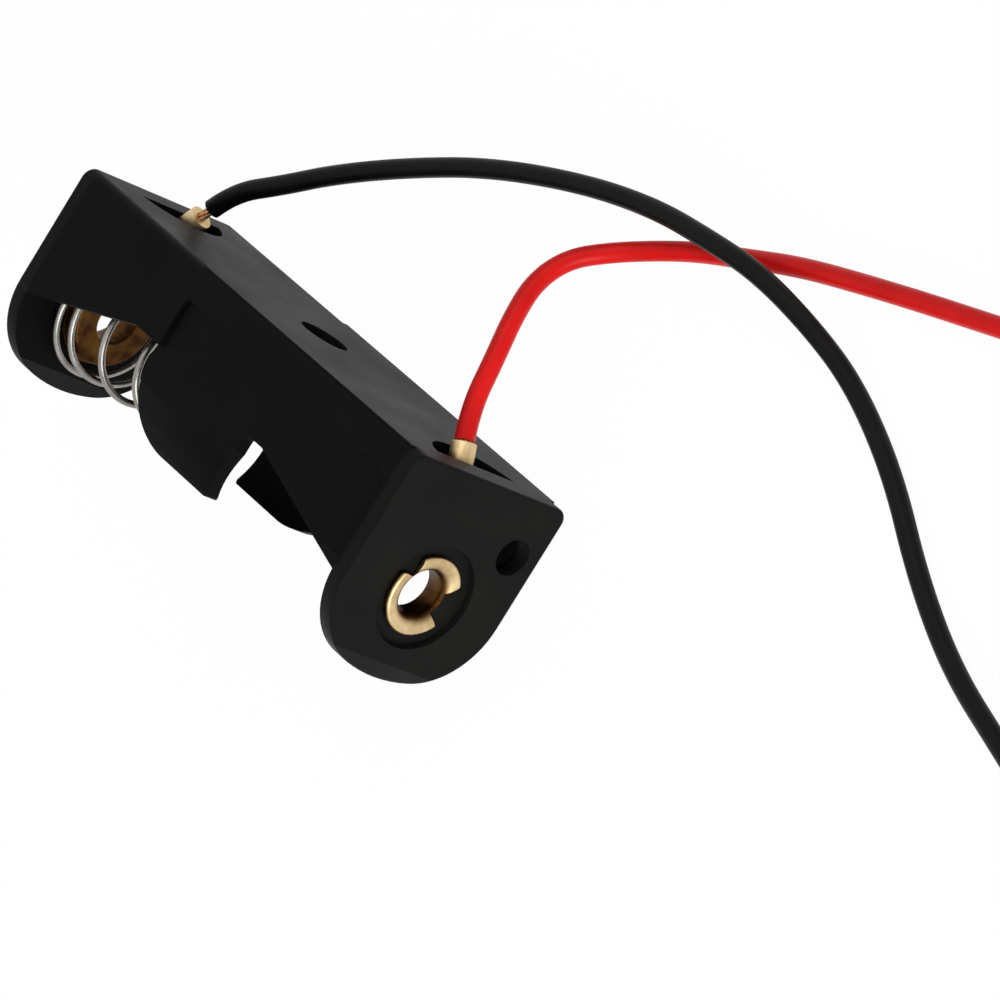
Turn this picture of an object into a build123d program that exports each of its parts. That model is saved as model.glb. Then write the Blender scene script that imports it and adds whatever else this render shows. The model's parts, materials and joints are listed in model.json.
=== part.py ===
from build123d import *
import math
import os

# A holder for one small 12 V cell, with two leads. It is drawn standing on its base,
# with X along the cell towards the positive end, Y across and Z up to the opening,
# and then laid on its long side, as it rests when its leads lie beside it.

# Cell, in millimetres
CELL_DIAMETER = 10.3
CELL_SIDE_CLEARANCE = 0.15
CELL_AXIS_HEIGHT = 7.6

# Moulding
BODY_LENGTH = 35.6
BODY_HEIGHT = 13.0
FLOOR_THICKNESS = 1.6
SIDE_BAND_HEIGHT = 2.1
WALL_THICKNESS = 0.8
BAND_STEP = 0.3
BASE_EDGE_RADIUS = 0.8
PLATE_THICKNESS = 1.2
PLATE_TOP_RADIUS = 11.0
PLATE_SHOULDER_RADIUS = 5.0
PLATE_EDGE_RADIUS = 0.2

# Side walls and clip arms, as places along the holder and heights above its base, with
# the lean of an arm's straight end in degrees. The upper arm faces up when the holder
# lies down, and the lower one, which is taller, is turned end for end
THICK_WALL_END = -4.7
THICK_WALL_LOW_X = -7.2
THICK_WALL_LOW = 5.3
THICK_WALL_HIGH = 8.2
PANEL_CORNER_RADIUS = 1.3
PANEL_FOLD_RADIUS = 0.4
ARM_START = -5.05
ARM_END = 4.95
ARM_LEAN = 12.5
ARM_LEAN_FROM = 7.0
UPPER_ARM_HEIGHT = 10.4
LOWER_ARM_HEIGHT = 11.1
ARM_CORNER_RADIUS = 4.4
ARM_TIP_RADIUS = 0.4
SLIT_WIDTH = 1.65
SLIT_BOTTOM = 5.85
SLIT_CORNER_RADIUS = 0.4
THIN_WALL_HIGH = 8.4

# Holes of the moulding
SCREW_HOLE_RADIUS = 1.55
RECESS_RADIUS = 3.3
RECESS_DEPTH = 0.5
SIDE_HOLE_RADIUS = 1.15
SIDE_HOLE_HEIGHT = 3.6
SIDE_HOLE_OFFSET = 4.3
SLOT_LENGTH = 6.6
SLOT_DEPTH = 2.55
SLOT_FROM_PLATE = 0.85

# Terminals: a pad on the end plate, a leg that leans through the slot, and a crimp
BRASS = 0.3
PAD_RADIUS = 3.2
LEG_WIDTH = 2.4
NECK_WIDTH = 1.3
NECK_TOP = 2.2
LEG_LEAN = 29.0
LEG_BEND_HEIGHT = 3.85
LEG_BEND_RADIUS = 0.5
CRIMP_RADIUS = 0.75
CRIMP_LENGTH = 1.5
CRIMP_PROUD = 0.95

# Eyelets that rivet the terminals to the end plates
EYELET_RADIUS = 1.75
EYELET_WALL = 0.3
EYELET_FIT = 0.02
HEAD_RADIUS = 2.5
HEAD_HEIGHT = 0.45
HEAD_DISH = 0.15
HEAD_FLARE_RADIUS = 0.7
HEAD_RIM_RADIUS = 0.2
PETAL_CORNER_RADIUS = 0.25
SEAT_EDGE_RADIUS = 0.12
SEAT_RADIUS = 2.9
SEAT_THICKNESS = 0.35

# Splits of the positive eyelet's head: the angles of both sides at the rim and at the
# root, from the side wall that faces up when the holder lies down, then the root's radius
NARROW_SPLIT = (-54.0, -22.0, -34.0, -31.0, 1.65)
WIDE_SPLIT = (145.0, 213.0, 149.0, 188.0, 1.3)

# Contact spring: a flat turn under the eyelet, then open turns that narrow towards the
# free end and whose pitch grows at first
SPRING_WIRE = 0.45
SPRING_GAP = 0.05
SPRING_INNER_RADIUS = 2.25
SPRING_WIDE_RADIUS = 3.9
SPRING_FREE_RADIUS = 2.9
SPRING_FLAT_TURNS = 1.0
SPRING_OPEN_TURNS = 3.4
SPRING_PITCH = 3.35
SPRING_EASE_TURNS = 1.67
SPRING_STEPS = 16

# Leads
LEAD_DIAMETER = 1.2
STRAND_DIAMETER = 0.6
RED_STRAND_LENGTH = 0.15
BLACK_STRAND_LENGTH = 0.9
EXIT_LENGTH = 1.9
BARE_LENGTH = 5.0
COIL_RADIUS = 6.5
TIE_WIDTH = 2.0
TIE_THICKNESS = 0.25
TIE_CLEARANCE = 0.05
ARC_SHARE = 0.45

# Derived sizes
inner_half = CELL_DIAMETER / 2 + CELL_SIDE_CLEARANCE
wall_half = inner_half + WALL_THICKNESS
body_half = wall_half + BAND_STEP
body_width = 2 * body_half
end_x = BODY_LENGTH / 2
bay_end = end_x - PLATE_THICKNESS
bay_length = 2 * bay_end
base_y = (BODY_HEIGHT - CRIMP_PROUD) / 2
lean = math.radians(LEG_LEAN)
eyelet_bore = EYELET_RADIUS - EYELET_WALL
eyelet_hole = EYELET_RADIUS + EYELET_FIT
pad_face = bay_end - BRASS
strand_radius = STRAND_DIAMETER / 2
lead_radius = LEAD_DIAMETER / 2
coil_bottom = TIE_THICKNESS + TIE_CLEARANCE
coil_height = 2 * LEAD_DIAMETER

# The crimp's axis leans out through the base, towards the middle of the holder
crimp_way = Vector(-math.sin(lean), 0, -math.cos(lean))
crimp_end_height = CRIMP_RADIUS * math.sin(lean) - CRIMP_PROUD
leg_mid_x = bay_end - BRASS / 2
crimp_end = Vector(
    leg_mid_x - (LEG_BEND_HEIGHT - crimp_end_height) * math.tan(lean), 0, crimp_end_height
)
crimp_start = crimp_end - crimp_way * CRIMP_LENGTH


def rounded(outline, corners):
    """A flat face with the given outline, some of whose corners are rounded."""
    face = make_face(Polyline(*outline, close=True)).face()
    for point, radius in corners:
        corner = face.vertices().sort_by_distance(Vector(*point))[0]
        face = face.fillet_2d(radius, [corner])
    return face


def along(face, start, length):
    """A face drawn across the holder, run along it from a start."""
    return extrude(Plane.YZ.offset(start) * face, length)


def across(face, half_width):
    """A face drawn in side view, run across the holder both ways."""
    return extrude(Plane.XZ * face, half_width, both=True)


def laid_down(shape):
    """The standing model turned onto its long side, with its middle over the origin."""
    return Pos(0, base_y, body_half) * Rot(90, 0, 0) * shape


def mirrored(shape):
    """The same piece at the other end of the holder."""
    return mirror(shape, about=Plane.YZ)


# End plates

def end_plate():
    """An arched plate, its shoulders rounded, its outer rim softened."""
    block = Pos(0, BODY_HEIGHT / 2) * Rectangle(body_width, BODY_HEIGHT)
    face = (block & Pos(0, BODY_HEIGHT - PLATE_TOP_RADIUS) * Circle(PLATE_TOP_RADIUS)).face()
    by_height = face.vertices().sort_by(Axis.Y)
    face = face.fillet_2d(PLATE_SHOULDER_RADIUS, by_height[-2:])
    face = face.fillet_2d(BASE_EDGE_RADIUS, face.vertices().sort_by(Axis.Y)[:2])
    plate = along(face, bay_end, PLATE_THICKNESS)
    rim = plate.faces().sort_by(Axis.X)[-1].edges()
    return fillet(rim, PLATE_EDGE_RADIUS)


# Floor, thick walls and the low band along both sides

def tub():
    """The floor with the thick parts of the walls, rounded along its lower edges."""
    section = rounded(
        [(-body_half, 0), (body_half, 0), (body_half, BODY_HEIGHT), (-body_half, BODY_HEIGHT)],
        [((-body_half, 0), BASE_EDGE_RADIUS), ((body_half, 0), BASE_EDGE_RADIUS)],
    )
    fold = (THICK_WALL_END, SIDE_BAND_HEIGHT)
    plate_corner = (bay_end, SIDE_BAND_HEIGHT)
    side = rounded(
        [
            (-bay_end, 0),
            (-bay_end, THICK_WALL_HIGH),
            (THICK_WALL_LOW_X, THICK_WALL_LOW),
            (THICK_WALL_END, THICK_WALL_LOW),
            fold,
            plate_corner,
            (bay_end, THIN_WALL_HIGH),
            (end_x, THIN_WALL_HIGH),
            (end_x, 0),
        ],
        [(fold, PANEL_FOLD_RADIUS), (plate_corner, PANEL_CORNER_RADIUS)],
    )
    return along(section, -bay_end, bay_length) & across(side, body_half)


def wall_side(arm_height, round_end):
    """An inset wall in side view. One end of its arm is round, the other leans inwards."""
    middle = (ARM_START + ARM_END) / 2
    half = (ARM_END - ARM_START) / 2
    lean = (arm_height - ARM_LEAN_FROM) * math.tan(math.radians(ARM_LEAN))
    round_x = middle + round_end * half
    leaning_x = middle - round_end * half
    shoulder = (round_x, arm_height)
    tip = (leaning_x + round_end * lean, arm_height)
    arm = rounded(
        [(round_x, 0), shoulder, tip, (leaning_x, ARM_LEAN_FROM), (leaning_x, 0)],
        [(shoulder, ARM_CORNER_RADIUS), (tip, ARM_TIP_RADIUS)],
    )
    slit_end = (ARM_END + SLIT_WIDTH, SLIT_BOTTOM)
    plate_end = (bay_end, THIN_WALL_HIGH)
    slope = rounded([(middle, 0), (middle, SLIT_BOTTOM), slit_end, plate_end, (bay_end, 0)], [])
    side = (arm + slope).face()
    slit_corner = side.vertices().sort_by_distance((ARM_END, SLIT_BOTTOM))[0]
    return side.fillet_2d(SLIT_CORNER_RADIUS, [slit_corner])


def thin_walls():
    """The inset walls and the clip arms, which curve in round the cell."""
    upright = Pos(0, CELL_AXIS_HEIGHT / 2) * Rectangle(2 * wall_half, CELL_AXIS_HEIGHT)
    section = (upright + Pos(0, CELL_AXIS_HEIGHT) * Circle(wall_half)).face()
    upper = extrude(Plane.XZ * wall_side(UPPER_ARM_HEIGHT, -1), -body_half)
    lower = extrude(Plane.XZ * wall_side(LOWER_ARM_HEIGHT, 1), body_half)
    return along(section, ARM_START, bay_end - ARM_START) & (upper + lower)


def bay():
    """The space that the cell takes, down to the floor."""
    low = CELL_AXIS_HEIGHT - FLOOR_THICKNESS
    upright = Pos(0, FLOOR_THICKNESS + low / 2) * Rectangle(2 * inner_half, low)
    section = (upright + Pos(0, CELL_AXIS_HEIGHT) * Circle(inner_half)).face()
    return along(section, -bay_end, bay_length)


def lead_slot():
    """A half-moon slot through the floor, its straight edge beside the end plate."""
    straight_x = bay_end - SLOT_FROM_PLATE
    radius = ((SLOT_LENGTH / 2) ** 2 + SLOT_DEPTH**2) / (2 * SLOT_DEPTH)
    moon = Pos(straight_x - SLOT_DEPTH + radius, 0) * Circle(radius)
    keep = Pos(straight_x - SLOT_DEPTH, 0) * Rectangle(2 * SLOT_DEPTH, 2 * SLOT_LENGTH)
    return extrude(moon & keep, FLOOR_THICKNESS)


def end_hole(radius, start, length, offset=0, height=CELL_AXIS_HEIGHT):
    """A round cut along the holder, from a start inside an end plate."""
    return along(Pos(offset, height) * Circle(radius), start, length)


def holder_body():
    body = tub() + thin_walls() - bay()
    for plate in (end_plate(), mirrored(end_plate())):
        body = body + plate
    slot = lead_slot()
    hole = end_hole(eyelet_hole, bay_end, PLATE_THICKNESS)
    recess = end_hole(RECESS_RADIUS, end_x - RECESS_DEPTH, RECESS_DEPTH)
    for cut in (slot, hole, recess):
        body = body - cut - mirrored(cut)
    body = body - Cylinder(SCREW_HOLE_RADIUS, 2 * FLOOR_THICKNESS)
    side_hole = end_hole(
        SIDE_HOLE_RADIUS, bay_end, PLATE_THICKNESS, -SIDE_HOLE_OFFSET, SIDE_HOLE_HEIGHT
    )
    return body - side_hole


# Terminals

def terminal():
    """The positive terminal: one stamped and bent strip, with its crimp barrel."""
    half = BRASS / 2
    miter = half * math.tan(lean / 2)
    bend_outer = (bay_end, LEG_BEND_HEIGHT - miter)
    bend_inner = (pad_face, LEG_BEND_HEIGHT + miter)
    side_step = Vector(math.cos(lean), 0, -math.sin(lean)) * half
    foot = crimp_start + crimp_way * BRASS
    foot_outer = foot + side_step
    foot_inner = foot - side_step
    strip = rounded(
        [
            (bay_end, CELL_AXIS_HEIGHT),
            bend_outer,
            (foot_outer.X, foot_outer.Z),
            (foot_inner.X, foot_inner.Z),
            bend_inner,
            (pad_face, CELL_AXIS_HEIGHT),
        ],
        [(bend_outer, LEG_BEND_RADIUS + BRASS), (bend_inner, LEG_BEND_RADIUS)],
    )
    leg = across(strip, LEG_WIDTH / 2)
    for side in (-1, 1):
        spare = Pos(leg_mid_x, side * (NECK_WIDTH + LEG_WIDTH) / 2, 0)
        leg = leg - spare * Box(BODY_HEIGHT, LEG_WIDTH, 2 * NECK_TOP)
    pad = end_hole(PAD_RADIUS, pad_face, BRASS)
    barrel = Solid.make_cylinder(
        CRIMP_RADIUS, CRIMP_LENGTH, Plane(origin=crimp_start, z_dir=crimp_way)
    )
    bore = Solid.make_cylinder(
        strand_radius, CRIMP_LENGTH, Plane(origin=crimp_start, z_dir=crimp_way)
    )
    rivet_hole = end_hole(eyelet_hole, pad_face, BRASS)
    return leg + pad + barrel - bore - rivet_hole


def eyelet(seat_lift, splits):
    """A tubular rivet along +X, its head rolled over in the recess of the plate."""
    head_face = end_x - RECESS_DEPTH
    seat_face = pad_face - seat_lift
    seat_start = seat_face - SEAT_THICKNESS
    head_top = head_face + HEAD_HEIGHT
    seat_edge = (seat_start, SEAT_RADIUS)
    rim = (head_top, HEAD_RADIUS)
    flare = (head_top - HEAD_DISH, eyelet_bore)
    outline = [
        (seat_start, eyelet_bore),
        seat_edge,
        (seat_face, SEAT_RADIUS),
        (seat_face, EYELET_RADIUS),
        (head_face, EYELET_RADIUS),
        (head_face, HEAD_RADIUS),
        rim,
        flare,
    ]
    soft = [(seat_edge, SEAT_EDGE_RADIUS), (rim, HEAD_RIM_RADIUS), (flare, HEAD_FLARE_RADIUS)]
    profile = Plane.XZ * rounded(outline, soft)
    rivet = revolve(profile, Axis.X)
    if splits:
        gaps = Circle(2 * HEAD_RADIUS) - petals(splits)
        rivet = rivet - extrude(Plane.YZ.offset(head_face) * gaps, HEAD_HEIGHT)
    return Pos(0, 0, CELL_AXIS_HEIGHT) * rivet


def petals(splits):
    """What the splits leave of the head, seen along the rivet, with rounded corners."""
    face = Circle(HEAD_RADIUS)
    for split in splits:
        face = face - split_outline(*split)
    rim_corners = face.vertices().sort_by_distance((0, 0))[-2 * len(splits):]
    return face.face().fillet_2d(PETAL_CORNER_RADIUS, rim_corners)


def split_outline(rim_start, rim_end, root_start, root_end, root_radius):
    """The outline of a split in the head, which opens from its root past the rim."""
    sides = []
    for rim_angle, root_angle in ((rim_start, root_start), (rim_end, root_end)):
        root = Vector(root_radius, 0).rotate(Axis.Z, root_angle)
        rim = Vector(HEAD_RADIUS, 0).rotate(Axis.Z, rim_angle)
        sides.append((root, root + (rim - root) * 2))
    (root_a, far_a), (root_b, far_b) = sides
    return make_face(Polyline(root_a, far_a, far_b, root_b, close=True)).face()


# Contact spring

def spring_point(turn):
    """A point on the wire's centre line, counted in turns from the held inner end."""
    open_turn = max(0.0, turn - SPRING_FLAT_TURNS)
    easing_turn = min(open_turn, SPRING_EASE_TURNS)
    spread = min(1.0, turn / SPRING_FLAT_TURNS)
    ease = spread * spread * (3 - 2 * spread)
    radius = SPRING_INNER_RADIUS + (SPRING_WIDE_RADIUS - SPRING_INNER_RADIUS) * ease
    radius -= (SPRING_WIDE_RADIUS - SPRING_FREE_RADIUS) * open_turn / SPRING_OPEN_TURNS
    start_x = -pad_face + SPRING_GAP + SPRING_WIRE / 2
    rise = SPRING_PITCH * easing_turn**2 / (2 * SPRING_EASE_TURNS)
    rise += SPRING_PITCH * (open_turn - easing_turn)
    angle = 2 * math.pi * turn
    across_y = radius * math.cos(angle)
    up = radius * math.sin(angle)
    return Vector(start_x + rise, across_y, CELL_AXIS_HEIGHT + up)


def contact_spring():
    turns = SPRING_FLAT_TURNS + SPRING_OPEN_TURNS
    count = int(turns * SPRING_STEPS)
    points = [spring_point(turns * step / count) for step in range(count + 1)]
    path = Spline(*points)
    wire_end = Plane(origin=path @ 0, z_dir=path % 0)
    return sweep(wire_end * Circle(SPRING_WIRE / 2), path=path)


# Leads, in the frame of the holder as it lies: X along it, Y out of its base, Z up

crimp_end_laid = laid_down(Vertex(crimp_end.X, crimp_end.Y, crimp_end.Z)).center()
way_laid = Vector(crimp_way.X, -crimp_way.Z, crimp_way.Y)
red_start = crimp_end_laid + way_laid * RED_STRAND_LENGTH
black_start = crimp_end_laid + way_laid * BLACK_STRAND_LENGTH

RED_ROUTE = [
    (12.35, 11.45, 6.2),
    (11.4, 13.75, 5.7),
    (10.5, 16.0, 4.8),
    (10.65, 18.0, 3.6),
    (11.8, 19.5, 2.2),
    (13.65, 21.0, 1.1),
    (16.05, 22.4, 0.6),
    (19.3, 23.7, 0.6),
    (23.2, 25.3, 0.6),
    (28.05, 26.75, 0.6),
    (32.75, 28.05, 0.6),
    (37.2, 29.2, 0.7),
    (41.4, 30.3, 0.9),
]
BLACK_ROUTE = [
    (-10.05, 11.05, 5.95),
    (-7.3, 13.5, 5.35),
    (-3.1, 16.45, 4.6),
    (1.95, 19.35, 4.0),
    (8.3, 21.85, 3.45),
    (13.8, 23.25, 3.1),
    (18.35, 23.7, 2.9),
    (22.5, 23.9, 2.4),
    (27.0, 23.15, 1.3),
    (31.35, 22.0, 0.6),
    (37.1, 19.5, 0.6),
    (42.5, 15.95, 0.6),
    (48.1, 13.25, 0.7),
    (53.95, 11.75, 0.9),
]
RED_TAIL = [
    (49.5, 32.35, 2.0),
    (51.9, 33.0, 1.35),
    (54.3, 33.5, 0.8),
    (56.6, 34.1, 0.6),
    (58.5, 34.85, 0.6),
]
BLACK_TAIL = [(64.1, 23.3, 2.0), (63.3, 25.2, 1.2), (62.1, 26.9, 0.6), (60.4, 28.0, 0.6)]
RED_COIL = (43.8, 37.6)
BLACK_COIL = (59.7, 16.85)
RED_TIE_ANGLE = 104.0
BLACK_TIE_ANGLE = -42.0


def lead_tube(name, points):
    """A tube of straight runs and tangent arcs, as wide as each bend allows."""
    route = [Vector(*point) for point in points]
    radii = []
    for before, here, after in zip(route, route[1:], route[2:]):
        turn = math.radians((here - before).get_angle(after - here))
        shorter = min((here - before).length, (after - here).length)
        radii.append(ARC_SHARE * shorter / math.tan(turn / 2))
    path = FilletPolyline(*route, radius=radii)
    section = Plane(origin=path @ 0, z_dir=path % 0) * Circle(lead_radius)
    tube = sweep(section, path=path)
    full = math.pi * lead_radius**2 * path.length
    print(name, "length", round(path.length, 2), "volume share", round(tube.volume / full, 4))
    print("  runs", [round((b - a).length, 1) for a, b in zip(route, route[1:])])
    print("  radii", [round(radius, 1) for radius in radii])
    return tube


def coil_ring(growth=0.0):
    """The outer shape of turns that lie two high, with room added all round."""
    height = coil_height + 2 * growth
    section = SlotOverall(height, LEAD_DIAMETER + 2 * growth, rotation=90)
    middle = coil_bottom + coil_height / 2
    return revolve(Plane.XZ * Pos(COIL_RADIUS, middle) * section, Axis.Z)


def coil_tie(angle):
    """A flat band round the turns, at an angle about the coil's axis."""
    wide = LEAD_DIAMETER + 2 * coil_bottom
    high = coil_height + 2 * coil_bottom
    section = Pos(COIL_RADIUS, high / 2) * SlotOverall(high, wide, rotation=90)
    band = extrude(Plane.XZ * section, TIE_WIDTH / 2, both=True)
    return Rot(0, 0, angle) * (band - coil_ring(TIE_CLEARANCE))


def strands(start, way, length):
    """A straight bundle of bare strands."""
    return Solid.make_cylinder(strand_radius, length, Plane(origin=start, z_dir=way))


def crimp_strands(bare_length):
    """The strands from inside the positive crimp to the start of the insulation."""
    return laid_down(strands(crimp_start, crimp_way, CRIMP_LENGTH + bare_length))


def bare_end(tail):
    """The stripped end, which runs on level from the last run of the tail."""
    last = Vector(*tail[-1])
    run = last - Vector(*tail[-2])
    return strands(last, Vector(run.X, run.Y, 0), BARE_LENGTH)


def at_negative_end(point):
    """The same place at the other end of the holder."""
    return Vector(-point.X, point.Y, point.Z)


# All pieces, each in its own file

red_points = [red_start, red_start + way_laid * EXIT_LENGTH, *RED_ROUTE]
black_exit = [black_start, black_start + way_laid * EXIT_LENGTH]
black_points = [*map(at_negative_end, black_exit), *BLACK_ROUTE]

solids = {
    "holder_body": laid_down(holder_body()),
    "positive_lug": laid_down(terminal()),
    "negative_lug": laid_down(mirrored(terminal())),
    "positive_eyelet": laid_down(eyelet(0.0, (NARROW_SPLIT, WIDE_SPLIT))),
    "negative_eyelet": laid_down(mirrored(eyelet(SPRING_WIRE + 2 * SPRING_GAP, ()))),
    "contact_spring": laid_down(contact_spring()),
    "red_crimp_strands": crimp_strands(RED_STRAND_LENGTH),
    "red_lead": lead_tube("red_lead", red_points),
    "red_lead_coil": Pos(*RED_COIL) * coil_ring(),
    "red_coil_tie": Pos(*RED_COIL) * coil_tie(RED_TIE_ANGLE),
    "red_lead_tail": lead_tube("red_lead_tail", RED_TAIL),
    "red_bare_end": bare_end(RED_TAIL),
    "black_crimp_strands": mirrored(crimp_strands(BLACK_STRAND_LENGTH)),
    "black_lead": lead_tube("black_lead", black_points),
    "black_lead_coil": Pos(*BLACK_COIL) * coil_ring(),
    "black_coil_tie": Pos(*BLACK_COIL) * coil_tie(BLACK_TIE_ANGLE),
    "black_lead_tail": lead_tube("black_lead_tail", BLACK_TAIL),
    "black_bare_end": bare_end(BLACK_TAIL),
}

os.makedirs("parts", exist_ok=True)
for node, solid in solids.items():
    export_step(solid, f"parts/{node}.step")
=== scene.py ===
# %% [markdown]
# # A holder for one small cell, with a red and a black lead
#
# The holder is a black moulding that lies on its long side. Brass terminals are riveted
# to its end plates, a coil spring stands on one of them, and each terminal's crimp grips
# the strands of a lead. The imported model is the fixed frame: it says how large everything
# is and where it sits, and this script gives the pieces their finish.

import json
import math

import bpy
from mathutils import Matrix, Vector

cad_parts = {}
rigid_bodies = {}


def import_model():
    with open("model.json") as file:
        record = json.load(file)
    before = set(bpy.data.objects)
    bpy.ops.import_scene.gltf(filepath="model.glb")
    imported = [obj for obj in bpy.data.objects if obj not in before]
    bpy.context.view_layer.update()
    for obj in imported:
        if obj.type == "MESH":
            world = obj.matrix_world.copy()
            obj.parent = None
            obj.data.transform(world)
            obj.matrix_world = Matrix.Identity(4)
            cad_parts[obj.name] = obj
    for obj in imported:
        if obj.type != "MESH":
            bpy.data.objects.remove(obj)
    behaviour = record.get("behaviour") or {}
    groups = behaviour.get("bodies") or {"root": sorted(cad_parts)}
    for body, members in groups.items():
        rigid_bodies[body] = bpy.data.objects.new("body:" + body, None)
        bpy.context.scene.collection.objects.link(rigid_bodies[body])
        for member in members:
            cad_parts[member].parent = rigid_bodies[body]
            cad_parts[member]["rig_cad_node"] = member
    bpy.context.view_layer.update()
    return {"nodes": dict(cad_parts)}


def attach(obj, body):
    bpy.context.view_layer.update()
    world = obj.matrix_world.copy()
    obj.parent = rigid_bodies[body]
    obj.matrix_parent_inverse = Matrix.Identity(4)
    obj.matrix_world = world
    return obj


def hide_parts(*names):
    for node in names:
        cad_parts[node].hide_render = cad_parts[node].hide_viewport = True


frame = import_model()
bpy.ops.object.select_all(action="DESELECT")
print("the frame holds", len(frame["nodes"]), "nodes")

# %% [markdown]
# ## Camera
#
# The photograph looks down on the end plate, the side wall and, at a very flat angle, the
# base. A long lens keeps the holder's edges almost parallel, as they are there. The
# camera is set before anything is modelled, so that every piece is judged in its view.

# %% Camera
CAMERA_PLACE = Vector((0.2839, 0.070725, 0.2854))
CAMERA_FORWARD = Vector((-0.6793, -0.1671, -0.7146))
CAMERA_UP = Vector((-0.4801, 0.8376, 0.2606))
CAMERA_LENS = 252.6
SENSOR_WIDTH = 36
NEAREST_SEEN = 0.01

lens = bpy.data.cameras.new("camera")
lens.lens = CAMERA_LENS
lens.sensor_width = SENSOR_WIDTH
lens.clip_start = NEAREST_SEEN
camera = bpy.data.objects.new("camera", lens)
bpy.context.scene.collection.objects.link(camera)
camera_back = -CAMERA_FORWARD.normalized()
camera_right = CAMERA_UP.cross(camera_back).normalized()
camera_axes = (camera_right, camera_back.cross(camera_right), camera_back)
camera.matrix_world = Matrix.Translation(CAMERA_PLACE) @ Matrix(camera_axes).transposed().to_4x4()
bpy.context.scene.camera = camera
bpy.context.scene.view_settings.view_transform = "Standard"
print("the camera has a lens of", CAMERA_LENS, "mm")

# %% [markdown]
# ## Leads
#
# Each lead is a soft insulated wire of a fixed length. It leaves its crimp in line with
# the barrel, falls to the surface in a loose curve, and the rest of its length is wound
# up and tied. One spline through a few given points gives a curve with no kinks,
# and a loop adds the turns. A curve with a round bevel is then all the mesh it needs.

# %% Lead sizes
LEAD_DIAMETER = 0.0012
BARE_LENGTH = 0.005
COIL_RADIUS = 0.0065
TIE_LIFT = 0.0003
CRIMP_END = Vector((0.013991, 0.006611, 0.0064))
CRIMP_WAY = Vector((-0.4848, 0.8746, 0))
EXIT_RUN = 0.0019
RED_STRANDS_SEEN = 0.00015
BLACK_STRANDS_SEEN = 0.0009
lead_radius = LEAD_DIAMETER / 2


def at_negative_end(point):
    """The same place or direction at the other end of the holder."""
    return Vector((-point.x, point.y, point.z))


red_start = CRIMP_END + CRIMP_WAY * RED_STRANDS_SEEN
black_start = at_negative_end(CRIMP_END + CRIMP_WAY * BLACK_STRANDS_SEEN)
red_exit = red_start + CRIMP_WAY * EXIT_RUN
black_exit = black_start + at_negative_end(CRIMP_WAY) * EXIT_RUN
print("the red lead starts at", [round(c * 1000, 2) for c in red_start], "mm")

# %% [markdown]
# A route lists the curve's control points, in metres, from the crimp to the coil. The
# curve stays inside the corners that they make, so few points give a loose bend, and a
# lead whose middle is its own radius above the surface lies on it.

# %% Routes
RED_ROUTE = [
    (0.01235, 0.01145, 0.0062),
    (0.0114, 0.01375, 0.0057),
    (0.0105, 0.0160, 0.0048),
    (0.01065, 0.0180, 0.0036),
    (0.0118, 0.0195, 0.0022),
    (0.01365, 0.0210, 0.0011),
    (0.01605, 0.0224, 0.0006),
    (0.0193, 0.0237, 0.0006),
    (0.0232, 0.0253, 0.0006),
    (0.02805, 0.02675, 0.0006),
    (0.03275, 0.02805, 0.0006),
    (0.0372, 0.0292, 0.0007),
    (0.0414, 0.0303, 0.0009),
]
BLACK_ROUTE = [
    (-0.01005, 0.01105, 0.00595),
    (-0.0073, 0.0135, 0.00535),
    (-0.0031, 0.01645, 0.0046),
    (0.00195, 0.01935, 0.0040),
    (0.0083, 0.02185, 0.00345),
    (0.0138, 0.02325, 0.0031),
    (0.01835, 0.0237, 0.0029),
    (0.0225, 0.0239, 0.0024),
    (0.0270, 0.02315, 0.0013),
    (0.03135, 0.0220, 0.0006),
    (0.0371, 0.0195, 0.0006),
    (0.0425, 0.01595, 0.0006),
    (0.0481, 0.01325, 0.0007),
    (0.05395, 0.01175, 0.0009),
]
RED_TAIL = [
    (0.0495, 0.03235, 0.0020),
    (0.0519, 0.0330, 0.00135),
    (0.0543, 0.0335, 0.0008),
    (0.0566, 0.0341, 0.0006),
    (0.0585, 0.03485, 0.0006),
]
BLACK_TAIL = [
    (0.0641, 0.0233, 0.0020),
    (0.0633, 0.0252, 0.0012),
    (0.0621, 0.0269, 0.0006),
    (0.0604, 0.0280, 0.0006),
]
print("the routes have", len(RED_ROUTE), "and", len(BLACK_ROUTE), "points")

# %% [markdown]
# The put-away turns lie on each other, a diameter apart. They rest on the surface, apart
# from a place under the tie, which lifts them a little. The first turn climbs onto itself
# in its last third, and each later turn keeps the same shape one layer up.

# %% Turns
RED_COIL = Vector((0.0438, 0.0376, 0))
BLACK_COIL = Vector((0.0597, 0.01685, 0))
RED_JOIN_ANGLE = -75.3
BLACK_JOIN_ANGLE = -105.0
RED_TURNS = 2.0
BLACK_TURNS = 1.35
RED_TIE_ANGLE = 104.0
BLACK_TIE_ANGLE = -42.0
POINTS_PER_TURN = 16
CLIMB_START = 0.68
TIE_REACH = 75.0


def eased(share):
    """A share from 0 to 1 that starts and ends gently."""
    share = min(1.0, max(0.0, share))
    return share * share * (3 - 2 * share)


def turns_of(centre, join_angle, turns, tie_angle):
    """The control points of a neat coil, wound upwards and round to the left."""
    count = round(turns * POINTS_PER_TURN)
    step = 360 * turns / count
    reach = COIL_RADIUS / math.cos(math.radians(step / 2))
    points = []
    for index in range(count):
        wound = (index + 0.5) * step
        angle = join_angle + wound
        from_tie = abs((angle - tie_angle + 180) % 360 - 180)
        layer, share = divmod(wound / 360, 1)
        layer += eased((share - CLIMB_START) / (1 - CLIMB_START))
        height = lead_radius + layer * LEAD_DIAMETER
        lift_share = 2 - 2 * from_tie / TIE_REACH
        height += TIE_LIFT * eased(lift_share)
        way = Vector((math.cos(math.radians(angle)), math.sin(math.radians(angle)), 0))
        points.append(centre + way * reach + Vector((0, 0, height)))
    return points


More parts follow.
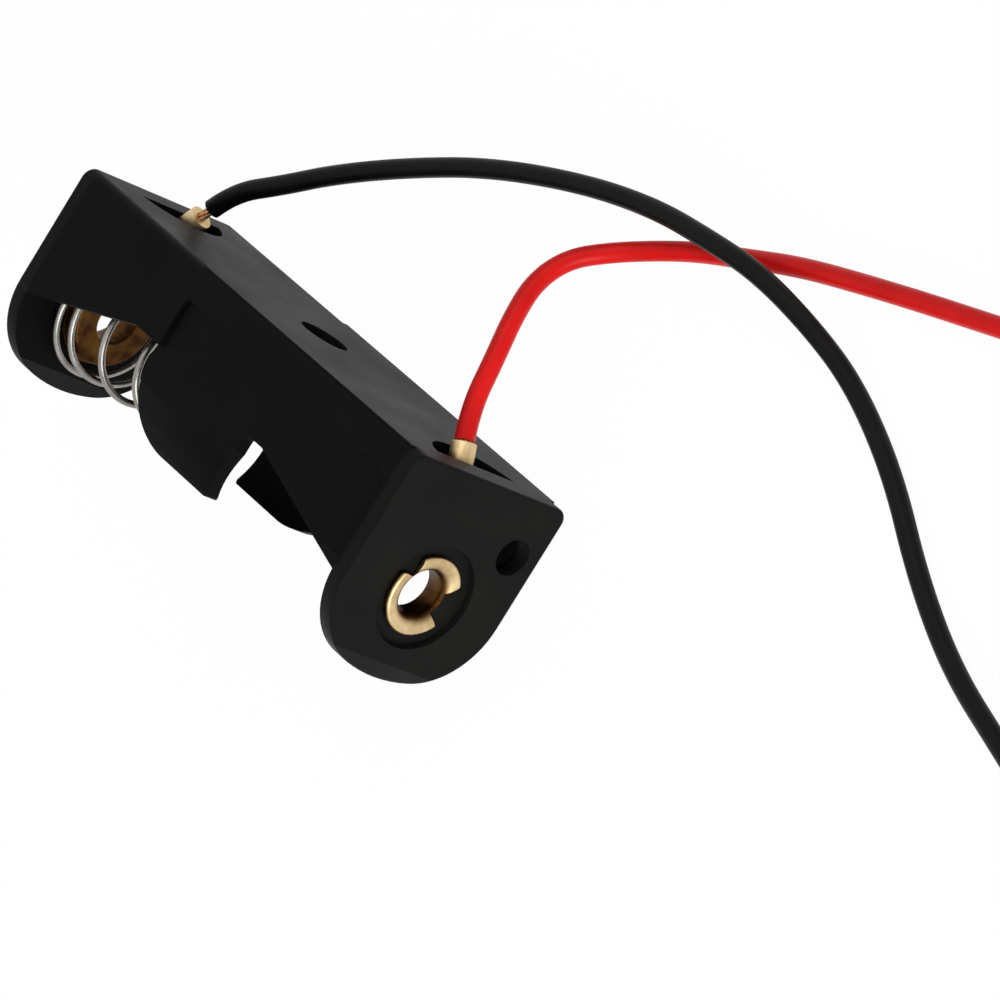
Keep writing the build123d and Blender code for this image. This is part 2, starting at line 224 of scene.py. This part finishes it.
red_turns = turns_of(RED_COIL, RED_JOIN_ANGLE, RED_TURNS, RED_TIE_ANGLE)
black_turns = turns_of(BLACK_COIL, BLACK_JOIN_ANGLE, BLACK_TURNS, BLACK_TIE_ANGLE)
print("the coils are drawn by", len(red_turns), "and", len(black_turns), "points")

# %% [markdown]
# Leads and strands are both round and smooth along their length. A curve object does
# that with a bevel depth, and three small helpers make it, add a line to it and show it.
# More steps are spent on the thick leads than on the thin strands.

# %% Round curves
CURVE_ORDER = 3


def round_curve(name, radius, steps, round_steps):
    """An empty curve with a round section and closed ends."""
    curve = bpy.data.curves.new(name, "CURVE")
    curve.dimensions = "3D"
    curve.resolution_u = steps
    curve.bevel_depth = radius
    curve.bevel_resolution = round_steps
    curve.use_fill_caps = True
    return curve


def add_line(curve, points):
    """Adds one open line with no corners, drawn by its control points."""
    spline = curve.splines.new("NURBS")
    spline.points.add(len(points) - 1)
    for control, point in zip(spline.points, points):
        control.co = (*point, 1)
    spline.order_u = CURVE_ORDER
    spline.use_endpoint_u = True
    spline.use_smooth = True


def show(curve):
    """A piece of the scene that shows a curve."""
    piece = bpy.data.objects.new(curve.name, curve)
    bpy.context.scene.collection.objects.link(piece)
    return piece


# %% [markdown]
# One line runs from the crimp along the route, round the turns and out along the tail.
# It stands for three nodes of the frame, which hold only the outer shape of the lead,
# of its coil and of its tail.

# %% The two leads
LEAD_STEPS = 8
LEAD_ROUND_STEPS = 6


def lead(name, points):
    """One lead, all the way from its crimp to its stripped end."""
    curve = round_curve(name, lead_radius, LEAD_STEPS, LEAD_ROUND_STEPS)
    add_line(curve, points)
    print(name, "is drawn by", len(points), "control points")
    return show(curve)


red_points = [red_start, red_exit, *RED_ROUTE, *red_turns, *RED_TAIL]
black_points = [black_start, black_exit, *BLACK_ROUTE, *black_turns, *BLACK_TAIL]
red_wire = lead("red_wire", red_points)
black_wire = lead("black_wire", black_points)
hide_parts("red_lead", "red_lead_coil", "red_lead_tail")
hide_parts("black_lead", "black_lead_coil", "black_lead_tail")

# %% [markdown]
# ## Bare strands
#
# Inside its insulation each lead is seven fine copper wires, six twisted round one. They
# show for a moment between crimp and insulation, and at the stripped end, where they are
# tinned. Seven thin lines wound round a straight axis are closer to that than one rod.

# %% Strands
STRAND_DIAMETER = 0.0002
TWIST_PITCH = 0.0045
STRANDS = 7
POINTS_PER_TWIST = 14
FEWEST_STEPS = 3
STRAND_STEPS = 3
STRAND_ROUND_STEPS = 3


def bundle(name, start, way, length):
    """Strands twisted together along a straight way, the first one in the middle."""
    axis = Vector(way).normalized()
    side = axis.orthogonal().normalized()
    other = axis.cross(side)
    steps = max(FEWEST_STEPS, round(length / TWIST_PITCH * POINTS_PER_TWIST))
    curve = round_curve(name, STRAND_DIAMETER / 2, STRAND_STEPS, STRAND_ROUND_STEPS)
    for strand in range(STRANDS):
        radius = 0.0 if strand == 0 else STRAND_DIAMETER
        place_round = 2 * math.pi * strand / (STRANDS - 1)
        points = []
        for index in range(steps + 1):
            along = length * index / steps
            angle = place_round + 2 * math.pi * along / TWIST_PITCH
            turned = side * math.cos(angle) + other * math.sin(angle)
            points.append(Vector(start) + axis * along + turned * radius)
        add_line(curve, points)
    return show(curve)


def level(tail):
    """The level direction in which a lead's last run points."""
    run = Vector(tail[-1]) - Vector(tail[-2])
    return Vector((run.x, run.y, 0)).normalized()


# %% [markdown]
# The strands of a crimp start inside its barrel and end at the insulation. Those of a
# stripped end go on from the tail, level, in the direction of its last run.

# %% The four stretches of bare strands
CRIMP_LENGTH = 0.0015

crimp_start = CRIMP_END - CRIMP_WAY * CRIMP_LENGTH
strand_sets = {
    "red_crimp_strands": (crimp_start, CRIMP_WAY, CRIMP_LENGTH + RED_STRANDS_SEEN),
    "black_crimp_strands": (
        at_negative_end(crimp_start),
        at_negative_end(CRIMP_WAY),
        CRIMP_LENGTH + BLACK_STRANDS_SEEN,
    ),
    "red_bare_end": (Vector(RED_TAIL[-1]), level(RED_TAIL), BARE_LENGTH),
    "black_bare_end": (Vector(BLACK_TAIL[-1]), level(BLACK_TAIL), BARE_LENGTH),
}
strand_pieces = {}
for node, (start, way, length) in strand_sets.items():
    name = node.replace("strands", "wires").replace("bare", "stripped")
    piece = bundle(name, start, way, length)
    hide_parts(node)
    strand_pieces[node] = piece
print("bare strands:", ", ".join(piece.name for piece in strand_pieces.values()))

# %% [markdown]
# ## Materials
#
# Every finish is built from the same few steps: a plain shader with the finish's own
# values, a fine grain that reads the piece's own coordinates, and that grain used to vary
# the colour and the gloss a little and to raise the surface. The helpers do one step each.

# %% Plain values


def shader_of(finish):
    """The shader node of a material."""
    return finish.node_tree.nodes["Principled BSDF"]


def finish_of(name, colour, roughness, metallic=0.0, specular=0.5):
    """A material with a finish's plain values."""
    finish = bpy.data.materials.new(name)
    finish.use_nodes = True
    shader = shader_of(finish)
    shader.inputs["Base Color"].default_value = (*colour, 1)
    shader.inputs["Roughness"].default_value = roughness
    shader.inputs["Metallic"].default_value = metallic
    shader.inputs["Specular IOR Level"].default_value = specular
    return finish


def tell(finish):
    """Prints how many nodes a finish is made of."""
    print(finish.name, "is made of", len(finish.node_tree.nodes), "nodes")


# %% [markdown]
# A grain could be a painted picture, but noise needs no picture and no unwrapping. It
# reads the piece's own coordinates, so a grain has its real size on every piece.

# %% Grain


def grain(finish, size, detail=3.0, stretch=(1, 1, 1)):
    """Noise whose grains are about the given size in metres, longer where stretched."""
    nodes = finish.node_tree.nodes
    links = finish.node_tree.links
    place = nodes.new("ShaderNodeTexCoord")
    mapping = nodes.new("ShaderNodeMapping")
    mapping.inputs["Scale"].default_value = [1 / factor for factor in stretch]
    noise = nodes.new("ShaderNodeTexNoise")
    noise.inputs["Scale"].default_value = 1 / size
    noise.inputs["Detail"].default_value = detail
    links.new(place.outputs["Object"], mapping.inputs["Vector"])
    links.new(mapping.outputs["Vector"], noise.inputs["Vector"])
    return noise.outputs["Fac"]


# %% [markdown]
# A ramp turns noise into colours. Most of the noise lies near its middle, so the two
# colours stand close to the middle too, or the darkest and lightest would never show.

# %% Colour


def two_colours(finish, pattern, low, high, dark, light):
    """A colour that follows a pattern, between two colours."""
    ramp = finish.node_tree.nodes.new("ShaderNodeValToRGB")
    ramp.color_ramp.elements[0].position = low
    ramp.color_ramp.elements[0].color = (*dark, 1)
    ramp.color_ramp.elements[1].position = high
    ramp.color_ramp.elements[1].color = (*light, 1)
    finish.node_tree.links.new(pattern, ramp.inputs["Fac"])
    return ramp.outputs["Color"]


def vary_colour(finish, pattern, low, high, dark, light):
    """Lets the finish's colour follow a pattern, between two colours."""
    colour = two_colours(finish, pattern, low, high, dark, light)
    finish.node_tree.links.new(colour, shader_of(finish).inputs["Base Color"])


# %% [markdown]
# Some colours change with their place on the holder, and that is where light or shade is
# painted into them. A share that falls from 1 to 0 between two distances from the middle
# says where, and a mix then takes one colour on one side and another on the other. No piece has
# to be cut for it.

# %% Colour by place


def share_by_place(finish, axis, full_at, none_at):
    """Falls from 1 to 0 between two distances from the middle along an axis."""
    nodes = finish.node_tree.nodes
    links = finish.node_tree.links
    place = nodes.new("ShaderNodeTexCoord")
    split = nodes.new("ShaderNodeSeparateXYZ")
    outward = nodes.new("ShaderNodeMath")
    outward.operation = "ABSOLUTE"
    share = nodes.new("ShaderNodeMapRange")
    share.interpolation_type = "SMOOTHSTEP"
    share.inputs["From Min"].default_value = none_at
    share.inputs["From Max"].default_value = full_at
    links.new(place.outputs["Object"], split.inputs[0])
    links.new(split.outputs[axis], outward.inputs[0])
    links.new(outward.outputs[0], share.inputs["Value"])
    return share.outputs["Result"]


def keep_colour_where(finish, share, other):
    """Keeps the finish's colour where a share is 1, and takes another where it is 0."""
    colour = shader_of(finish).inputs["Base Color"]
    mix = finish.node_tree.nodes.new("ShaderNodeMix")
    mix.data_type = "RGBA"
    finish.node_tree.links.new(share, mix.inputs["Factor"])
    finish.node_tree.links.new(other, mix.inputs["A"])
    finish.node_tree.links.new(colour.links[0].from_socket, mix.inputs["B"])
    finish.node_tree.links.new(mix.outputs["Result"], colour)


# %% [markdown]
# No real surface is equally glossy all over, or quite flat. The same noise shifts the
# roughness a little, and a bump turns a fine one into relief without any new faces.

# %% Gloss and relief
PATTERN_LOW = 0.3
PATTERN_HIGH = 0.7


def vary_roughness(finish, pattern, smooth, rough):
    """Lets the gloss follow a pattern, between two roughnesses."""
    spread = finish.node_tree.nodes.new("ShaderNodeMapRange")
    spread.inputs["From Min"].default_value = PATTERN_LOW
    spread.inputs["From Max"].default_value = PATTERN_HIGH
    spread.inputs["To Min"].default_value = smooth
    spread.inputs["To Max"].default_value = rough
    finish.node_tree.links.new(pattern, spread.inputs["Value"])
    finish.node_tree.links.new(spread.outputs["Result"], shader_of(finish).inputs["Roughness"])


def raise_surface(finish, pattern, height):
    """Raises the surface by a pattern, up to a height in metres."""
    bump = finish.node_tree.nodes.new("ShaderNodeBump")
    bump.inputs["Distance"].default_value = height
    finish.node_tree.links.new(pattern, bump.inputs["Height"])
    finish.node_tree.links.new(bump.outputs["Normal"], shader_of(finish).inputs["Normal"])


# %% [markdown]
# ### Moulded plastic
#
# The mould's walls were spark-eroded, so the black plastic has a fine even grain that
# kills sharp reflections. Broad soft patches, where the melt cooled at different rates,
# shift the colour and the gloss. The faces that are furthest out along the length and
# the height are painted paler: painted light on the end plates, which face the light more
# than the side wall, and a painted sheen on the base, for its grazing reflection.

# %% Moulded plastic
# Painted light: the end plates take paler colours than the walls, and the base paler still, as a
# painted sheen.
PAINTED_LIGHT_ON_PLATES_AT = {"full_at": 0.0166, "none_at": 0.0170}
PAINTED_SHEEN_ON_BASE_AT = {"full_at": 0.00595, "none_at": 0.006}
PATCHES = {"low": 0.35, "high": 0.7}
WALL_COLOURS = {"dark": (0.0034, 0.0034, 0.0036), "light": (0.0058, 0.0056, 0.0054)}
PLATE_PAINTED_LIGHT_COLOURS = {"dark": (0.0098, 0.0096, 0.0093), "light": (0.014, 0.0135, 0.0125)}
BASE_PAINTED_SHEEN_COLOURS = {"dark": (0.018, 0.018, 0.0183), "light": (0.028, 0.0275, 0.028)}

plastic = finish_of(
    "moulded_black_plastic", colour=(0.0045, 0.0045, 0.0045), roughness=0.45, specular=0.035
)
fine = grain(plastic, size=0.00016, detail=2.0)
patches = grain(plastic, size=0.006, detail=4.0)
plate_painted_light = two_colours(plastic, patches, **PATCHES, **PLATE_PAINTED_LIGHT_COLOURS)
base_painted_sheen = two_colours(plastic, patches, **PATCHES, **BASE_PAINTED_SHEEN_COLOURS)
vary_colour(plastic, patches, **PATCHES, **WALL_COLOURS)
# The paler plate colour is painted light and the palest base colour is a painted sheen.
keep_colour_where(plastic, share_by_place(plastic, "X", **PAINTED_LIGHT_ON_PLATES_AT), plate_painted_light)
keep_colour_where(plastic, share_by_place(plastic, "Y", **PAINTED_SHEEN_ON_BASE_AT), base_painted_sheen)
vary_roughness(plastic, patches, smooth=0.4, rough=0.54)
raise_surface(plastic, fine, height=0.000012)
tell(plastic)

# %% [markdown]
# ### Brass
#
# The terminals are stamped from rolled strip and the rivets are drawn from it. Outside the
# moulding the brass keeps its own bright colour. Inside, on the rivet seats and lugs, it is
# painted a darker brown, which is painted shade for the shaded bay and the dark walls it
# reflects. The change follows the distance from the middle of the holder.

# %% Brass
# Painted shade: inside the moulding the brass takes a darker brown, for the shaded bay and the
# dark walls it reflects.
RIVET_PAINTED_SHADE_INSIDE = {"full_at": 0.01776, "none_at": 0.01735}
CRIMP_PAINTED_SHADE_BELOW = {"full_at": 0.0063, "none_at": 0.0055}
PAINTED_SHADE_BRASS_COLOURS = {"dark": (0.045, 0.016, 0.004), "light": (0.16, 0.07, 0.016)}
BRIGHT_COLOURS = {"dark": (0.5, 0.35, 0.16), "light": (0.78, 0.6, 0.34)}

brass = finish_of("rolled_brass", colour=(0.7, 0.52, 0.28), roughness=0.4, metallic=1.0)
tarnish_and_shade_patches = grain(brass, size=0.0012, detail=5.0)
rolling = grain(brass, size=0.00012, detail=2.0, stretch=(1, 1, 9))
painted_shade_brass = two_colours(brass, tarnish_and_shade_patches, low=0.4, high=0.7, **PAINTED_SHADE_BRASS_COLOURS)
vary_colour(brass, tarnish_and_shade_patches, low=0.32, high=0.62, **BRIGHT_COLOURS)
vary_roughness(brass, tarnish_and_shade_patches, smooth=0.34, rough=0.5)
raise_surface(brass, rolling, height=0.000004)

# Where neither share reaches, inside the moulding, the brass takes the brown of painted shade.
clear_of_painted_shade = brass.node_tree.nodes.new("ShaderNodeMath")
clear_of_painted_shade.operation = "MAXIMUM"
rivet_share = share_by_place(brass, "X", **RIVET_PAINTED_SHADE_INSIDE)
crimp_share = share_by_place(brass, "Y", **CRIMP_PAINTED_SHADE_BELOW)
brass.node_tree.links.new(rivet_share, clear_of_painted_shade.inputs[0])
brass.node_tree.links.new(crimp_share, clear_of_painted_shade.inputs[1])
keep_colour_where(brass, clear_of_painted_shade.outputs[0], painted_shade_brass)
tell(brass)

# %% [markdown]
# ### Spring wire
#
# The spring is drawn steel wire with a thin nickel plating. It is a metal with a greyer
# colour than brass and a little more gloss, and only broad soft patches vary it, since
# drawing leaves the wire smooth.

# %% Spring wire
WIRE_COLOURS = {"dark": (0.25, 0.24, 0.225), "light": (0.34, 0.325, 0.3)}

wire_finish = finish_of(
    "nickel_plated_wire", colour=(0.3, 0.29, 0.265), roughness=0.3, metallic=1.0
)
drawing = grain(wire_finish, size=0.0012, detail=2.0)
vary_colour(wire_finish, drawing, low=0.35, high=0.65, **WIRE_COLOURS)
vary_roughness(wire_finish, drawing, smooth=0.26, rough=0.36)
tell(wire_finish)

# %% [markdown]
# ### Insulation
#
# Soft insulation comes out of its die smooth, with a faint unevenness along its length
# and a waxy gloss. The red lets a little light in, so its colour stays even in shade.

# %% Insulation
COVER_DRIFT = 0.003
COVER_RIPPLE = 0.0005
COVER_RELIEF = 0.000008
RED_COLOURS = {"dark": (0.78, 0.009, 0.008), "light": (0.9, 0.013, 0.011)}
BLACK_COLOURS = {"dark": (0.0035, 0.0035, 0.0035), "light": (0.006, 0.006, 0.0055)}
LIGHT_LET_IN = 0.15
LIGHT_REACH = (0.0005, 0.0001, 0.0001)

red_cover = finish_of(
    "red_insulation", colour=(0.85, 0.010, 0.008), roughness=0.36, specular=0.14
)
red_drift = grain(red_cover, COVER_DRIFT, detail=4.0)
vary_colour(red_cover, red_drift, low=0.35, high=0.65, **RED_COLOURS)
vary_roughness(red_cover, red_drift, smooth=0.3, rough=0.42)
raise_surface(red_cover, grain(red_cover, COVER_RIPPLE), COVER_RELIEF)
shader_of(red_cover).inputs["Subsurface Weight"].default_value = LIGHT_LET_IN
shader_of(red_cover).inputs["Subsurface Radius"].default_value = LIGHT_REACH
shader_of(red_cover).inputs["Subsurface Scale"].default_value = 1.0
tell(red_cover)

black_cover = finish_of(
    "black_insulation", colour=(0.0045, 0.0045, 0.0045), roughness=0.4, specular=0.1
)
black_drift = grain(black_cover, COVER_DRIFT, detail=4.0)
vary_colour(black_cover, black_drift, low=0.35, high=0.65, **BLACK_COLOURS)
vary_roughness(black_cover, black_drift, smooth=0.34, rough=0.48)
raise_surface(black_cover, grain(black_cover, COVER_RIPPLE), COVER_RELIEF)
tell(black_cover)

# %% [markdown]
# ### Strands and ties
#
# The strands in the crimps are bare copper, dulled in places. The stripped ends were
# dipped in solder, which leaves them silvery and a little lumpy. Each put-away coil is
# held by a pale plastic band.

# %% Strands and ties
COPPER_COLOURS = {"dark": (0.42, 0.22, 0.12), "light": (0.72, 0.44, 0.26)}
SOLDER_COLOURS = {"dark": (0.56, 0.55, 0.53), "light": (0.78, 0.77, 0.74)}
BAND_COLOURS = {"dark": (0.68, 0.67, 0.64), "light": (0.78, 0.77, 0.74)}

copper = finish_of("bare_copper", colour=(0.62, 0.36, 0.2), roughness=0.35, metallic=1.0)
copper_dulling = grain(copper, size=0.0006, detail=4.0)
vary_colour(copper, copper_dulling, low=0.3, high=0.65, **COPPER_COLOURS)
vary_roughness(copper, copper_dulling, smooth=0.28, rough=0.5)
tell(copper)

tinned = finish_of("tinned_strands", colour=(0.7, 0.69, 0.66), roughness=0.3, metallic=1.0)
solder = grain(tinned, size=0.0005, detail=4.0)
vary_colour(tinned, solder, low=0.3, high=0.65, **SOLDER_COLOURS)
vary_roughness(tinned, solder, smooth=0.2, rough=0.45)
raise_surface(tinned, solder, height=0.00001)
tell(tinned)

band = finish_of("tie_band", colour=(0.74, 0.73, 0.70), roughness=0.45)
band_drift = grain(band, size=0.0008, detail=4.0)
vary_colour(band, band_drift, low=0.3, high=0.7, **BAND_COLOURS)
vary_roughness(band, band_drift, smooth=0.38, rough=0.55)
raise_surface(band, band_drift, height=0.00001)
tell(band)

# %% [markdown]
# ## Moulding, terminals and rivets
#
# These have the right shape in the frame already. What the frame lacks is the small
# radius that every moulded or stamped edge has, and that radius is what catches the light
# along an edge. The frame's triangles are welded and flat ones merged, so that a bevel
# finds the real edges, and the modifiers leave the frame's own mesh untouched.

# %% Soft edges
MOULDED_EDGE = 0.00012
SMALL_EDGE = 0.00005
MOULDED_EDGE_ANGLE = 50.0
SMALL_EDGE_ANGLE = 32.0
WELD_WITHIN = 0.000002
FLAT_WITHIN = 0.5


def soften(node, width, angle, segments):
    """Rounds those edges of a piece of the frame that turn by more than an angle."""
    piece = frame["nodes"][node]
    weld = piece.modifiers.new("weld", "WELD")
    weld.merge_threshold = WELD_WITHIN
    merge = piece.modifiers.new("merge flat faces", "DECIMATE")
    merge.decimate_type = "DISSOLVE"
    merge.angle_limit = math.radians(FLAT_WITHIN)
    edges = piece.modifiers.new("soft edges", "BEVEL")
    edges.width = width
    edges.segments = segments
    edges.limit_method = "ANGLE"
    edges.angle_limit = math.radians(angle)
    edges.harden_normals = True
    print(node, "has its edges rounded by", round(width * 1000, 3), "mm")


brass_nodes = ("positive_lug", "negative_lug", "positive_eyelet", "negative_eyelet")
tie_nodes = ("red_coil_tie", "black_coil_tie")
soften("holder_body", MOULDED_EDGE, MOULDED_EDGE_ANGLE, segments=3)
for node in (*brass_nodes, *tie_nodes):
    soften(node, SMALL_EDGE, SMALL_EDGE_ANGLE, segments=2)

# %% [markdown]
# ## Finishes on their pieces
#
# The strands take copper where a crimp grips them and solder at their far ends.

# %% Finishes


def coat_with(piece, finish):
    """Gives a piece one material."""
    piece.data.materials.clear()
    piece.data.materials.append(finish)
    print(piece.name, "is coated with", finish.name)


coat_with(frame["nodes"]["holder_body"], plastic)
for node in brass_nodes:
    coat_with(frame["nodes"][node], brass)
coat_with(frame["nodes"]["contact_spring"], wire_finish)
coat_with(red_wire, red_cover)
coat_with(black_wire, black_cover)
for node, piece in strand_pieces.items():
    if "crimp" in node:
        coat_with(piece, copper)
    else:
        coat_with(piece, tinned)
for node in tie_nodes:
    coat_with(frame["nodes"][node], band)

# %% [markdown]
# ## Riding
#
# Nothing on the holder turns or slides, so every piece rides on the one body.

# %% Riding
for piece in (red_wire, black_wire, *strand_pieces.values()):
    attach(piece, "root")

# %% [markdown]
# ## Floor and light
#
# The photograph's background is plain white. The floor and the world look white to the
# camera and in reflections, while what they add to the object's light stays plain. The
# floor still shows a little of the object's shadow, which is what stands it down.

# %% What is seen


def seen_directly(tree):
    """1 for rays that show the background itself, and 0 for the light it gives."""
    rays = tree.nodes.new("ShaderNodeLightPath")
    total = rays.outputs["Is Camera Ray"]
    for kind in ("Is Glossy Ray", "Is Transmission Ray"):
        larger = tree.nodes.new("ShaderNodeMath")
        larger.operation = "MAXIMUM"
        tree.links.new(total, larger.inputs[0])
        tree.links.new(rays.outputs[kind], larger.inputs[1])
        total = larger.outputs[0]
    return total


# %% Floor
FLOOR_SIZE = 3.0
SHADOW_SHARE = 0.06
FLOOR_GLOW = 1.03

bpy.ops.mesh.primitive_plane_add(size=FLOOR_SIZE)
floor = bpy.context.active_object
floor.name = "floor"
bpy.ops.object.select_all(action="DESELECT")

floor_finish = finish_of("floor", colour=(0.9, 0.9, 0.9), roughness=0.9, specular=0.0)
floor_nodes = floor_finish.node_tree.nodes
floor_links = floor_finish.node_tree.links
glow = floor_nodes.new("ShaderNodeEmission")
glow.inputs["Color"].default_value = (1, 1, 1, 1)
glow.inputs["Strength"].default_value = FLOOR_GLOW
glow_share = floor_nodes.new("ShaderNodeMath")
glow_share.operation = "MULTIPLY"
glow_share.inputs[1].default_value = 1 - SHADOW_SHARE
blend = floor_nodes.new("ShaderNodeMixShader")
floor_links.new(seen_directly(floor_finish.node_tree), glow_share.inputs[0])
floor_links.new(glow_share.outputs[0], blend.inputs["Fac"])
floor_links.new(shader_of(floor_finish).outputs[0], blend.inputs[1])
floor_links.new(glow.outputs[0], blend.inputs[2])
floor_links.new(blend.outputs[0], floor_nodes["Material Output"].inputs["Surface"])
floor.data.materials.append(floor_finish)
print("the floor is", FLOOR_SIZE, "m wide")

# %% [markdown]
# The world is white where it is seen. As a light it is much weaker, so that the black
# walls stay dark and the lamps can model the shape.

# %% World
FILL = 0.36

world = bpy.data.worlds.new("studio")
bpy.context.scene.world = world
world.use_nodes = True
backdrop = world.node_tree.nodes["Background"]
backdrop.inputs["Color"].default_value = (1, 1, 1, 1)
strength = world.node_tree.nodes.new("ShaderNodeMapRange")
strength.inputs["To Min"].default_value = FILL
strength.inputs["To Max"].default_value = 1.0
world.node_tree.links.new(seen_directly(world.node_tree), strength.inputs["Value"])
world.node_tree.links.new(strength.outputs["Result"], backdrop.inputs["Strength"])
print("the world fills with a strength of", FILL)

# %% [markdown]
# Two soft boxes model the shape. A weak one above lights the base, and a stronger one in
# front, low down, lights the near end plate and the bright rims of its rivet.

# %% Lamps
LAMPS = {
    "overhead": {"place": (0.05, 0.3, 0.5), "size": 0.35, "power": 0.5},
    "front": {"place": (0.45, -0.15, 0.08), "size": 0.3, "power": 1.6},
}
AIM = Vector((0.01, 0.01, 0.005))


def soft_lamp(name, place, size, power):
    """A square soft box that faces the holder."""
    light = bpy.data.lights.new(name, "AREA")
    light.size = size
    light.energy = power
    lamp = bpy.data.objects.new(name, light)
    bpy.context.scene.collection.objects.link(lamp)
    lamp.location = place
    lamp.rotation_mode = "QUATERNION"
    lamp.rotation_quaternion = (AIM - Vector(place)).to_track_quat("-Z", "Y")


for name, facts in LAMPS.items():
    soft_lamp(name, **facts)
print("the lamps are", " and ".join(LAMPS))
